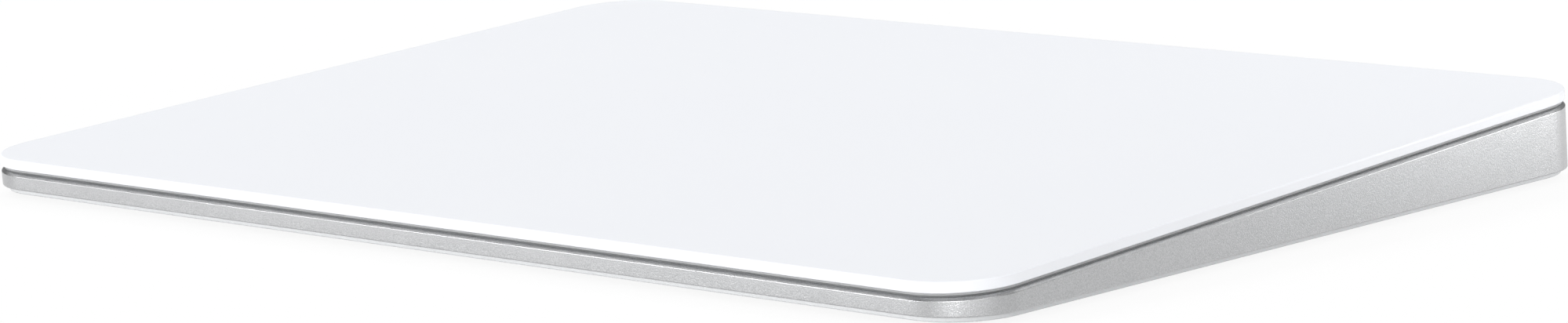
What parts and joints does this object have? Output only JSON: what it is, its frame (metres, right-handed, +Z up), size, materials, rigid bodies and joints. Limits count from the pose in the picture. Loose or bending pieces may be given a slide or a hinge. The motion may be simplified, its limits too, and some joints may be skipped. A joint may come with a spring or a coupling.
{
  "type": "trackpad",
  "caption": "Wedge-shaped desktop trackpad: a white glass touch surface on force-sensing flexures in a slim aluminium housing, with a haptic driver and a battery.",
  "frame": {"origin": "on the desk, under the middle of the outline", "axes": "+X to the right along the long side, +Y to the rear, thick edge, +Z up"},
  "size_m": [0.16, 0.115, 0.0108],
  "materials": {
    "white_glass": "opaque white cover glass, very finely etched, satin sheen",
    "clear_adhesive": "thin adhesive film",
    "sensor_board": "thin rigid laminate, grey edge",
    "stiffener_steel": "rolled stainless sheet",
    "black_chip": "moulded black plastic",
    "anodised_aluminium": "fine bead-blasted, clear anodised, cut edges bright",
    "white_plastic": "white moulded plastic, fine matte",
    "foot_rubber": "pale grey soft rubber",
    "spring_steel": "spring steel sheet",
    "gauge_film": "amber film with printed grid",
    "stud_steel": "turned steel",
    "gel": "soft gel",
    "screw_steel": "plated steel",
    "core_iron": "sintered soft iron",
    "coil_copper": "enamelled copper wire",
    "bracket_steel": "pressed sheet",
    "cell_foil": "foil pouch",
    "green_board": "solder-masked board",
    "can_steel": "tinned sheet",
    "connector_plastic": "moulded pale plastic",
    "ribbon_film": "amber polyimide",
    "antenna_copper": "copper foil",
    "knob_plastic": "moulded light grey plastic"
  },
  "bodies": {
    "housing": {"base_adhesive": "clear_adhesive", "battery_adhesive": "clear_adhesive", "logic_chips": "black_chip", "charge_port_tongue": "black_chip", "switch_body": "black_chip", "antenna_carrier": "black_chip", "housing": "anodised_aluminium", "base_plate": "white_plastic", "rubber_foot_front_left": "foot_rubber", "rubber_foot_front_right": "foot_rubber", "rubber_foot_rear_left": "foot_rubber", "rubber_foot_rear_right": "foot_rubber", "force_flexure_front_left": "spring_steel", "force_flexure_front_right": "spring_steel", "force_flexure_rear_left": "spring_steel", "force_flexure_rear_right": "spring_steel", "strain_gauge_front_left": "gauge_film", "strain_gauge_front_right": "gauge_film", "strain_gauge_rear_left": "gauge_film", "strain_gauge_rear_right": "gauge_film", "flexure_screws": "screw_steel", "haptic_screws": "screw_steel", "board_screws": "screw_steel", "haptic_core": "core_iron", "haptic_coil_1": "coil_copper", "haptic_coil_2": "coil_copper", "haptic_coil_3": "coil_copper", "haptic_bracket": "bracket_steel", "battery_cell": "cell_foil", "battery_board": "green_board", "logic_board": "green_board", "rear_board": "green_board", "shield_can": "can_steel", "charge_port_shell": "can_steel", "board_connectors": "connector_plastic", "battery_lead": "ribbon_film", "rear_ribbon": "ribbon_film", "touch_ribbon": "ribbon_film", "antenna": "antenna_copper"},
    "load_pads": {"load_stud_front_left": "stud_steel", "load_stud_front_right": "stud_steel", "load_stud_rear_left": "stud_steel", "load_stud_rear_right": "stud_steel", "gel_pad_front_left": "gel", "gel_pad_front_right": "gel", "gel_pad_rear_left": "gel", "gel_pad_rear_right": "gel"},
    "touch_surface": {"cover_glass": "white_glass", "glass_adhesive": "clear_adhesive", "touch_sensor_board": "sensor_board", "stiffener_plate": "stiffener_steel", "touch_controller": "black_chip", "attraction_bar": "stiffener_steel"},
    "power_switch": {"switch_knob": "knob_plastic"}
  },
  "joints": [
    {"name": "surface_press", "type": "slide", "parent": "housing", "child": "load_pads", "axis": [0, 0.0519, -0.9987], "range_m": [0, 0.00015], "stiffness_N_per_m": 20000, "springref_m": -0.0001, "deforming": ["force_flexure_front_left", "force_flexure_front_right", "force_flexure_rear_left", "force_flexure_rear_right", "touch_ribbon"]},
    {"name": "haptic_shift", "type": "slide", "parent": "load_pads", "child": "touch_surface", "axis": [1, 0, 0], "range_m": [-0.00015, 0.00015], "stiffness_N_per_m": 30000},
    {"name": "power_switch_slide", "type": "slide", "parent": "housing", "child": "power_switch", "axis": [1, 0, 0], "range_m": [0, 0.003]}
  ]
}
